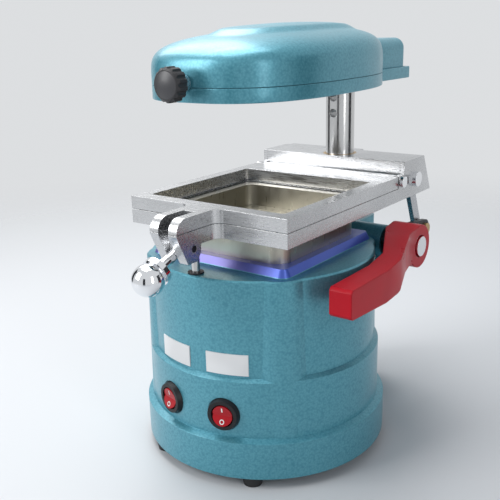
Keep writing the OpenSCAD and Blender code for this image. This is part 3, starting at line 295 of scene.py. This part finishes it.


# %% [markdown]
# ### Hammered enamel
#
# Hammer paint pulls itself into small dimples with a metallic glint. A smooth Voronoi gives the
# dimples, a finer noise breaks them up, and the colour follows them: bright in the middle of
# each, deeper along the ridges between them. A clear coat carries the wet highlight. On the
# raised pad of the deck a painted reflection lies over the paint: violet, turning blue towards
# the lever.
# It lies where the enamel is above the deck and not behind the pad's back edge.

# %% Hammered enamel
DECK_Z, PAD_BACK_Y = 0.1565, 0.0655
# The pad's violet and blue are a painted reflection, laid into the enamel's base colour.
PAD_REFLECTION_VIOLET, PAD_REFLECTION_BLUE = (0.150, 0.135, 0.42), (0.035, 0.12, 0.62)
REFLECTION_TURN_X, REFLECTION_TURN_WIDTH = 0.045, 0.03  # where the painted reflection turns blue, and how softly
DECK_MARGIN = 0.0004  # the painted reflection starts this far above the deck
WARP_SCALE, WARP_M = 420, 0.0014


def above(tree, place, axis, level, width=0.0002):
    """1 where an Object coordinate passes level, 0 below it, with a soft step of width."""
    split = tree.nodes.new("ShaderNodeSeparateXYZ")
    step = tree.nodes.new("ShaderNodeMapRange")
    step.inputs["From Min"].default_value = level - width
    step.inputs["From Max"].default_value = level + width
    tree.links.new(place.outputs["Object"], split.inputs[0])
    tree.links.new(split.outputs[axis], step.inputs["Value"])
    return step.outputs["Result"]


def hammered_enamel(name, deep, bright, cell_mm=1.5, height_mm=0.07):
    """Hammer paint: cell_mm is the width of one dimple and height_mm its depth."""
    material, tree, shader, bevel = base_finish(name, bright, 0.4, 0.36, 0.5)
    place = tree.nodes.new("ShaderNodeTexCoord")
    warp = tree.nodes.new("ShaderNodeTexNoise")
    warp.inputs["Scale"].default_value = WARP_SCALE
    bend = tree.nodes.new("ShaderNodeVectorMath")
    bend.operation = "MULTIPLY_ADD"
    bend.inputs[1].default_value = (WARP_M, WARP_M, WARP_M)
    cells = tree.nodes.new("ShaderNodeTexVoronoi")
    cells.feature = "SMOOTH_F1"
    cells.inputs["Scale"].default_value = 1000 / cell_mm
    cells.inputs["Smoothness"].default_value = 0.75
    tree.links.new(place.outputs["Object"], warp.inputs["Vector"])
    tree.links.new(warp.outputs["Color"], bend.inputs[0])
    tree.links.new(place.outputs["Object"], bend.inputs[2])
    tree.links.new(bend.outputs[0], cells.inputs["Vector"])
    tint(tree, cells.outputs["Distance"], shader.inputs["Base Color"], bright, deep, 0.2, 0.8)
    vary(tree, object_noise(tree, 30), shader.inputs["Roughness"], 0.30, 0.40)
    raise_bump(tree, shader, cells.outputs["Distance"], height_mm, 0.5, bevel)
    shader.inputs["Coat Weight"].default_value = 0.25
    shader.inputs["Coat Roughness"].default_value = 0.18
    return material


def paint_pad_reflection(material):
    """Paints a violet to blue reflection over the enamel of the raised pad."""
    tree = material.node_tree
    shader = tree.nodes["Principled BSDF"]
    place = tree.nodes.new("ShaderNodeTexCoord")
    over_deck = above(tree, place, "Z", DECK_Z + DECK_MARGIN)
    behind = above(tree, place, "Y", PAD_BACK_Y)
    mask = tree.nodes.new("ShaderNodeMath")
    mask.operation = "SUBTRACT"
    mask.use_clamp = True
    reflection_tint = tree.nodes.new("ShaderNodeMix")
    reflection_tint.data_type = "RGBA"
    reflection_tint.inputs["A"].default_value = (*PAD_REFLECTION_VIOLET, 1)
    reflection_tint.inputs["B"].default_value = (*PAD_REFLECTION_BLUE, 1)
    blend = tree.nodes.new("ShaderNodeMix")
    blend.data_type = "RGBA"
    paint = shader.inputs["Base Color"].links[0].from_socket
    tree.links.new(over_deck, mask.inputs[0])
    tree.links.new(behind, mask.inputs[1])
    tree.links.new(above(tree, place, "X", REFLECTION_TURN_X, REFLECTION_TURN_WIDTH), reflection_tint.inputs["Factor"])
    tree.links.new(mask.outputs[0], blend.inputs["Factor"])
    tree.links.new(paint, blend.inputs["A"])
    tree.links.new(reflection_tint.outputs["Result"], blend.inputs["B"])
    tree.links.new(blend.outputs["Result"], shader.inputs["Base Color"])
    return material


TEAL_DEEP, TEAL_BRIGHT = (0.062, 0.265, 0.345), (0.108, 0.360, 0.445)
teal_enamel = hammered_enamel("teal_hammered_enamel", TEAL_DEEP, TEAL_BRIGHT)
# This enamel carries the painted violet to blue reflection on the pad.
base_enamel = paint_pad_reflection(hammered_enamel("teal_enamel_with_painted_pad_reflection", TEAL_DEEP, TEAL_BRIGHT))

# %% [markdown]
# ### Metals
#
# The frames are ground flat, so their grain runs one way. The post was turned and shows rings.
# The clamp is polished and plated. Stretched noise makes the grain: its scale is large across
# the marks and small along them.


# %% Satin, turned and polished metal
def ground_metal(name, colour, rough, across, height_mm=0.012, edge_mm=0.5, relief=0.25):
    """Metal with fine marks; across is the noise's scale on X, Y and Z, relief its strength."""
    material, tree, shader, bevel = base_finish(name, colour, 1.0, rough, edge_mm)
    marks = object_noise(tree, 60, 4.0, across)
    cloud = object_noise(tree, 14, 2.0)
    vary(tree, marks, shader.inputs["Roughness"], rough * 0.75, rough * 1.3)
    tint(tree, cloud, shader.inputs["Base Color"],
         tuple(c * 0.90 for c in colour), tuple(min(1, c * 1.06) for c in colour))
    raise_bump(tree, shader, marks, height_mm, relief, bevel)
    return material


def polished_metal(name, colour, rough):
    """Plated metal: nearly a mirror, with faint clouding from handling."""
    material, tree, shader, _ = base_finish(name, colour, 1.0, rough, 0.3)
    vary(tree, object_noise(tree, 45), shader.inputs["Roughness"], rough * 0.6, rough * 1.9)
    return material


frame_alloy = ground_metal("satin_frame_alloy", (0.60, 0.605, 0.615), 0.27, (1, 14, 14),
                           height_mm=0.003, relief=0.1)
tray_steel = ground_metal("tray_steel", (0.45, 0.43, 0.37), 0.34, (10, 10, 1),
                          height_mm=0.003, relief=0.1)
post_steel = ground_metal("turned_post_steel", (0.60, 0.60, 0.60), 0.17, (1.5, 1.5, 22))
screw_steel = ground_metal("screw_steel", (0.52, 0.53, 0.55), 0.28, (6, 6, 6),
                           height_mm=0.006, edge_mm=0.2)
plated_steel = polished_metal("plated_steel", (0.84, 0.85, 0.87), 0.05)
bright_alloy = ground_metal("bright_alloy", (0.72, 0.73, 0.75), 0.36, (4, 4, 4))
bronze = ground_metal("bearing_bronze", (0.52, 0.36, 0.17), 0.32, (5, 5, 5))
dark_steel = ground_metal("blackened_steel", (0.045, 0.045, 0.05), 0.42, (8, 8, 8))
copper = ground_metal("winding_copper", (0.55, 0.27, 0.13), 0.38, (1, 1, 30), height_mm=0.05)
sheathed_rod = ground_metal("heater_sheath", (0.16, 0.14, 0.13), 0.5, (9, 9, 9))

# %% [markdown]
# ### Plastics, rubber and ceramic
#
# Moulded plastic takes its look from a faint grain and a slightly uneven gloss. The lever and
# the rockers are the smoothest, the heater's ceramic plate is the dullest.


# %% Moulded surfaces
def moulded(name, colour, rough, grain_scale, height_mm, coat=0.0, edge_mm=0.5, gloss=0.5):
    """Plastic, rubber or ceramic with a fine grain; coat and gloss set its highlight."""
    material, tree, shader, bevel = base_finish(name, colour, 0.0, rough, edge_mm)
    grain = object_noise(tree, grain_scale, 4.0)
    cloud = object_noise(tree, 25, 2.0)
    vary(tree, cloud, shader.inputs["Roughness"], rough * 0.85, min(1, rough * 1.2))
    tint(tree, cloud, shader.inputs["Base Color"],
         tuple(c * 0.88 for c in colour), tuple(min(1, c * 1.08) for c in colour))
    raise_bump(tree, shader, grain, height_mm, 0.3, bevel)
    shader.inputs["Coat Weight"].default_value = coat
    shader.inputs["Coat Roughness"].default_value = 0.08
    shader.inputs["Specular IOR Level"].default_value = gloss
    return material


lever_red = moulded("lever_red", (0.48, 0.003, 0.014), 0.30, 700, 0.02, edge_mm=1.6, gloss=0.2)
rocker_red = moulded("rocker_red", (0.42, 0.005, 0.012), 0.30, 600, 0.01, gloss=0.3)
black_moulding = moulded("black_moulding", (0.012, 0.012, 0.014), 0.42, 900, 0.03, gloss=0.3)
knob_black = moulded("knob_black", (0.020, 0.020, 0.023), 0.45, 1100, 0.05)
knob_grey = moulded("knob_grey", (0.055, 0.055, 0.06), 0.36, 1100, 0.03)
black_rubber = moulded("black_rubber", (0.016, 0.016, 0.017), 0.62, 500, 0.05)
white_plate = moulded("white_plate", (0.80, 0.80, 0.80), 0.35, 800, 0.01, coat=0.1, edge_mm=0.2)
refractory = moulded("refractory", (0.70, 0.66, 0.58), 0.8, 300, 0.15)
zinc_sheet = ground_metal("zinc_sheet", (0.42, 0.43, 0.45), 0.42, (3, 3, 3), height_mm=0.02)

# %% [markdown]
# ### Who wears what
#
# One table says which nodes of the frame get which finish, and the cell ends by naming any node
# that it forgot.

# %% Dress the frame
FINISH = {
    base_enamel: ["base_casting"],
    teal_enamel: ["head_shell", "head_rim"],
    frame_alloy: ["lower_frame", "upper_frame", "carrier_block"],
    tray_steel: ["tray", "perforated_plate"],
    post_steel: ["post", "guide_rod"],
    screw_steel: ["foot_screws", "tray_screws", "bracket_screws", "inlet_screws", "cheek_screws",
                  "hub_screws", "lever_shaft", "link_bar", "element_brackets",
                  "knob_stud", "motor_can"],
    plated_steel: ["swing_bolt", "ball_nut", "lever_cap_bolt", "hinge_screws", "link_pivot_bolt",
                   "motor_bearings", "rotor_shaft"],
    bright_alloy: ["impeller", "head_hub", "reflector"],
    bronze: ["lever_bush", "block_bushes", "crank_pin"],
    # The guide bush wears the blackened steel as painted shade, so that its ring shows dark.
    dark_steel: ["crank_arm", "post_set_screws", "rotor_core", "guide_bush", "clamp_pin"],
    copper: ["stator_core"],
    sheathed_rod: ["heater_element"],
    lever_red: ["lever_handle"],
    rocker_red: ["vacuum_rocker", "heat_rocker"],
    black_moulding: ["power_inlet", "vacuum_switch", "heat_switch"],
    knob_black: ["knob"],
    black_rubber: ["rubber_feet", "port_gasket", "fan_gasket", "sheet_seal"],
    white_plate: ["label_plates"],
    refractory: ["heater_plate"],
    zinc_sheet: ["bottom_cover", "fan_housing", "motor_bracket"],
}


def dress(names, material):
    """Gives each named CAD node one material in every slot."""
    for name in names:
        slots = nodes[name].material_slots
        if not slots:
            nodes[name].data.materials.append(material)
        for slot in slots:
            slot.material = material


for material, names in FINISH.items():
    dress(names, material)
left = sorted(set(nodes) - {n for names in FINISH.values() for n in names})
print("nodes without a finish:", left)

# %% [markdown]
# ### The floor fades out
#
# A floor with a visible edge would cut the picture in two. This one turns clear with distance,
# so the room's own grey takes over, and only the part that carries the shadow is left.


# %% Finishes of the floor and the cards
def fading_floor(name, colour, near, far):
    """A matt floor that turns clear between the distances near and far from the machine."""
    material, tree, shader, _ = base_finish(name, colour, 0.0, 0.7)
    place = tree.nodes.new("ShaderNodeTexCoord")
    length = tree.nodes.new("ShaderNodeVectorMath")
    length.operation = "LENGTH"
    fade = tree.nodes.new("ShaderNodeMapRange")
    fade.interpolation_type = "SMOOTHSTEP"
    fade.inputs["From Min"].default_value = near
    fade.inputs["From Max"].default_value = far
    clear = tree.nodes.new("ShaderNodeBsdfTransparent")
    mix = tree.nodes.new("ShaderNodeMixShader")
    tree.links.new(place.outputs["Object"], length.inputs[0])
    tree.links.new(length.outputs["Value"], fade.inputs["Value"])
    tree.links.new(fade.outputs["Result"], mix.inputs[0])
    tree.links.new(shader.outputs[0], mix.inputs[1])
    tree.links.new(clear.outputs[0], mix.inputs[2])
    tree.links.new(mix.outputs[0], tree.nodes["Material Output"].inputs["Surface"])
    return material


floor.data.materials.append(fading_floor("pale_floor", (0.62, 0.63, 0.645), near=0.35, far=1.2))
card_black = base_finish("card_black", (0.02, 0.022, 0.026), 0.0, 0.9)[0]
for card in CARDS:
    card.data.materials.append(card_black)

# %% [markdown]
# ## The heater head's shell
#
# The shell is a deep aluminium casting: its plan is a superellipse, its side stands almost
# upright and then rolls over into a low dome, and a raised crest runs back along the top. The
# CAD has it as flat facets, so the visible shell is worked out again from the same formula on a
# fine grid. The crest is a plateau with a soft shoulder, added to the height.

# %% The shell's grid
shell_low, shell_high = (np.array(p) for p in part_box("head_shell"))
rim_low, rim_high = (np.array(p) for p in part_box("head_rim"))
HALF_W, HALF_D, HEAD_Y = 0.064, 0.105, 0.023
PLAN_POWER, PLAN_TAPER = 2.75, 0.05
DOME_Z, DOME_H, DOME_RISE = shell_low[2], 0.0364, 0.0035
CREST_H, CREST_HALF_W, CREST_HALF_D, CREST_Y = 0.003, 0.038, 0.082, 0.038
CREST_POWER, CREST_SHOULDER = 2.5, 0.22


def head_plan(angle):
    """Superellipse: half size times cos or sin to the power 2/p, a little wider in front."""
    c, s = np.cos(angle), np.sin(angle)
    share_x = np.sign(c) * np.abs(c) ** (2 / PLAN_POWER)
    share_y = np.sign(s) * np.abs(s) ** (2 / PLAN_POWER)
    return HALF_W * share_x * (1 - PLAN_TAPER * share_y), HALF_D * share_y


def crest(x, y):
    """1 on a plateau with an oval outline, (|x/a|^p + |y/b|^p)^(1/p) = 1, 0 outside it.

    Between them the height follows 3t^2 - 2t^3 over the shoulder."""
    along_x = (np.abs(x) / CREST_HALF_W) ** CREST_POWER
    along_y = (np.abs(y - CREST_Y) / CREST_HALF_D) ** CREST_POWER
    t = np.clip((1.0 - (along_x + along_y) ** (1 / CREST_POWER)) / CREST_SHOULDER, 0, 1)
    return t * t * (3 - 2 * t)


def dome_points(turns=256, rings=90):
    """Ring k shrinks the plan by cos(t)^0.95 and lifts it by sin(t)^0.38 of the height."""
    angle = np.linspace(0, 2 * np.pi, turns, endpoint=False)[:, None]
    t = np.linspace(0, 1, rings)[None, :] ** 1.5 * np.pi / 2
    size, lift = np.cos(t) ** 0.95, np.sin(t) ** 0.38
    size[:, -1] = 0.0
    px, py = head_plan(angle)
    x, y = px * size, HEAD_Y + py * size
    z = DOME_Z + (DOME_H + DOME_RISE * (y - HEAD_Y) / HALF_D) * lift + CREST_H * crest(x, y)
    return np.stack([x, y, z], -1)


shell = new_piece("head_dome", grid_mesh("head_dome", dome_points(), wrap_u=True))


def rim_outline(turns=360, corner=0.004, half_w=0.035, corner_steps=8):
    """The head's plan with the tail's rectangle behind it, as x, y points round the outside."""
    angle = np.linspace(0, 2 * np.pi, turns, endpoint=False) + np.pi / 2
    px, py = head_plan(angle)
    py = py + HEAD_Y
    front = (py < HEAD_Y) | (np.abs(px) > half_w)
    roll = np.linspace(0, np.pi / 2, corner_steps)
    right_x = half_w - corner + corner * np.cos(roll)
    right_y = rim_high[1] - corner + corner * np.sin(roll)
    x = np.concatenate([px[front], right_x, -right_x[::-1]])
    y = np.concatenate([py[front], right_y, right_y[::-1]])
    return x, y


def rim_points(wall=0.003, edge=0.0008, edge_steps=5):
    """Sweeps a section round the outline: its two outer edges are quarter rounds of edge."""
    x, y = rim_outline()
    dx, dy = np.roll(x, -1) - np.roll(x, 1), np.roll(y, -1) - np.roll(y, 1)
    size = np.hypot(dx, dy)
    out_x, out_y = dy / size, -dx / size
    height = rim_high[2] - rim_low[2]
    roll = np.linspace(0, np.pi / 2, edge_steps)
    sine, cosine = edge * np.sin(roll), edge * np.cos(roll)
    inset = np.concatenate([[wall], edge - sine, edge - cosine, [wall]])
    rise = np.concatenate([[0], edge - cosine, height - edge + sine, [height]])
    return np.stack([x[:, None] - out_x[:, None] * inset,
                     y[:, None] - out_y[:, None] * inset,
                     rim_low[2] + rise + 0 * x[:, None]], -1)


rim = new_piece("head_lower_rim", grid_mesh("head_lower_rim", rim_points(), True, True))
rim.data.set_sharp_from_angle(angle=math.radians(40))


def rounded_box_points(half_x, y0, y1, z0, z1, corner, turns=96, rings=14):
    """Wall of a rounded rectangle, then a quarter round of the same radius, then its flat top."""
    angle = np.linspace(0, 2 * np.pi, turns, endpoint=False)[:, None] + np.pi / turns
    c, s = np.cos(angle), np.sin(angle)
    roll = np.linspace(0, np.pi / 2, rings)[None, :]
    radius = np.concatenate([[[corner]], corner * np.cos(roll), [[0.0]]], 1)
    height = np.concatenate([[[z0]], z1 - corner + corner * np.sin(roll), [[z1]]], 1)
    inner_x = np.full_like(radius, half_x - corner)
    inner_y = np.full_like(radius, (y1 - y0) / 2 - corner)
    inner_x[:, -1] = inner_y[:, -1] = 0.0
    x = inner_x * np.sign(c) + radius * c
    y = (y0 + y1) / 2 + inner_y * np.sign(s) + radius * s
    return np.stack([x, y, height + 0 * c], -1)


TAIL_HALF_W, TAIL_FRONT_Y, TAIL_H, TAIL_CORNER = 0.032, 0.060, 0.025, 0.009
tail = new_piece("head_tail", grid_mesh("head_tail", rounded_box_points(
    TAIL_HALF_W, TAIL_FRONT_Y, shell_high[1], DOME_Z, DOME_Z + TAIL_H, TAIL_CORNER), wrap_u=True))
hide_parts("head_shell")
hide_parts("head_rim")
for piece in (shell, tail, rim):
    piece.data.materials.append(teal_enamel)
    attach(piece, "head")
print("shell", len(shell.data.polygons), "faces, tail", len(tail.data.polygons))

# %% [markdown]
# ## The knob's domed face
#
# The knob's front is a shallow dome of a lighter grey than its fluted side.


# %% A shallow dome on the knob
FACE_RADIUS, FACE_BULGE, FACE_PROUD = 0.0088, 0.0018, 0.00002


def cap_points(centre, radius, bulge, turns=64, rings=12):
    """A shallow dome that looks along -Y: depth is bulge times (1 - r^2), down to its rim."""
    angle = np.linspace(0, 2 * np.pi, turns, endpoint=False)[:, None]
    r = np.linspace(1, 0, rings)[None, :]
    return np.stack([centre[0] + radius * r * np.cos(angle),
                     centre[1] - bulge * (1 - r * r) + 0 * angle,
                     centre[2] + radius * r * np.sin(angle)], -1)


knob_low, knob_high = (np.array(p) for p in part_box("knob"))
knob_centre = (knob_low + knob_high) / 2
knob_centre[1] = knob_low[1] - FACE_PROUD
face = new_piece("knob_face", grid_mesh(
    "knob_face", cap_points(knob_centre, FACE_RADIUS, FACE_BULGE), wrap_u=True))
face.data.materials.append(knob_grey)
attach(face, "head")

# %% [markdown]
# ## Softened mouldings
#
# The lever is an injection moulding with generous edges. A bevel needs real edges to work on,
# so a copy of the CAD mesh has its loose triangles merged and its flat areas joined before a
# Bevel modifier rounds what is left.


# %% The lever with rounded edges
WELD_M = 2e-6
FLAT_ANGLE, EDGE_ANGLE = math.radians(1.5), math.radians(28)


def softened_copy(node, name, width_mm, material, body, segments=4):
    """A welded copy of a CAD node whose sharp edges are rounded to width_mm; it replaces it."""
    mesh = nodes[node].data.copy()
    mesh.name = name
    work = bmesh.new()
    work.from_mesh(mesh)
    bmesh.ops.remove_doubles(work, verts=work.verts, dist=WELD_M)
    bmesh.ops.dissolve_limit(work, angle_limit=FLAT_ANGLE, verts=work.verts, edges=work.edges)
    work.to_mesh(mesh)
    work.free()
    mesh.materials.clear()
    mesh.materials.append(material)
    mesh.shade_smooth()
    mesh.set_sharp_from_angle(angle=EDGE_ANGLE)
    piece = new_piece(name, mesh)
    bevel = piece.modifiers.new("rounded_edges", "BEVEL")
    bevel.width, bevel.segments = width_mm / 1000, segments
    bevel.limit_method, bevel.angle_limit = "ANGLE", EDGE_ANGLE
    bevel.harden_normals = True
    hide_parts(node)
    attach(piece, body)
    return piece


lever = softened_copy("lever_handle", "lever_moulding", 2.0, lever_red, "lever")
print("lever", len(lever.data.polygons), "faces before its bevel")

# %% [markdown]
# ## Marks on the rockers
#
# Each rocker has a white bar on its upper half and a white ring on its lower half. They lie on
# the rocker's two sloping faces, a tenth of a millimetre proud, and tilt with it. A mark is
# drawn flat first, as offsets to the right and along the slope, then laid on the slope and
# turned to face out of the round base.

# %% The bar and the ring
switch_low, switch_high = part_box("vacuum_switch")
SWITCH_Z = float((switch_low[2] + switch_high[2]) / 2)
SWITCH_OUT = 0.0921  # from the base's axis to the switches' panel plane
SWITCH_ANGLES = {"vacuum_rocker": -14.0, "heat_rocker": 16.5}
FACE_MID, FACE_TOP, FACE_LOW = (0.0, 0.0017), (0.0082, 0.0033), (-0.0082, 0.0047)  # (up, out)
BAR_HALF_W, BAR_START, BAR_END = 0.0005, 0.34, 0.76
RING_RADIUS, RING_WIDTH, RING_ALONG, RING_SLOPE_M = 0.0015, 0.0007, 0.55, 0.0084


def onto_switch(points, degrees):
    """Panel coordinates (right, up, out) turned to face out of the base at an angle."""
    a = math.radians(degrees)
    r, u, o = points[..., 0], points[..., 1], points[..., 2] + SWITCH_OUT
    return np.stack([math.cos(a) * r + math.sin(a) * o, math.sin(a) * r - math.cos(a) * o,
                     SWITCH_Z + u], -1)


def on_face(right, along, start, end, proud=0.0001):
    """Points on a sloping face: along 0 to 1 runs from start to end, both given as (up, out)."""
    slope = np.subtract(end, start)
    normal = np.array([-slope[1], slope[0]]) / np.hypot(*slope)
    normal = normal if normal[1] > 0 else -normal
    up_out = np.array(start) + along[..., None] * slope + normal * proud
    return np.stack([right, up_out[..., 0], up_out[..., 1]], -1)


def ring_mark(radius, width, sides=40):
    """An annulus as right and up offsets: radius plus or minus half the width."""
    a = np.linspace(0, 2 * np.pi, sides, endpoint=False)[:, None]
    r = radius + width * np.array([[-0.5, 0.5]])
    return r * np.cos(a), r * np.sin(a)


mark_white = moulded("mark_white", (0.82, 0.82, 0.80), 0.4, 600, 0.005)
bar_right, bar_along = np.meshgrid([-BAR_HALF_W, BAR_HALF_W], [BAR_START, BAR_END], indexing="ij")
ring_right, ring_up = ring_mark(RING_RADIUS, RING_WIDTH)
ring_along = RING_ALONG - ring_up / RING_SLOPE_M
for rocker, degrees in SWITCH_ANGLES.items():
    bar = onto_switch(on_face(bar_right, bar_along, FACE_MID, FACE_TOP), degrees)
    ring = onto_switch(on_face(ring_right, ring_along, FACE_MID, FACE_LOW), degrees)
    for label, pts, wrap in (("bar", bar, False), ("ring", ring, True)):
        mark = new_piece(f"{rocker}_{label}", grid_mesh(f"{rocker}_{label}", pts, wrap_u=wrap))
        mark.data.materials.append(mark_white)
        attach(mark, rocker)
print("marks are on both rockers")
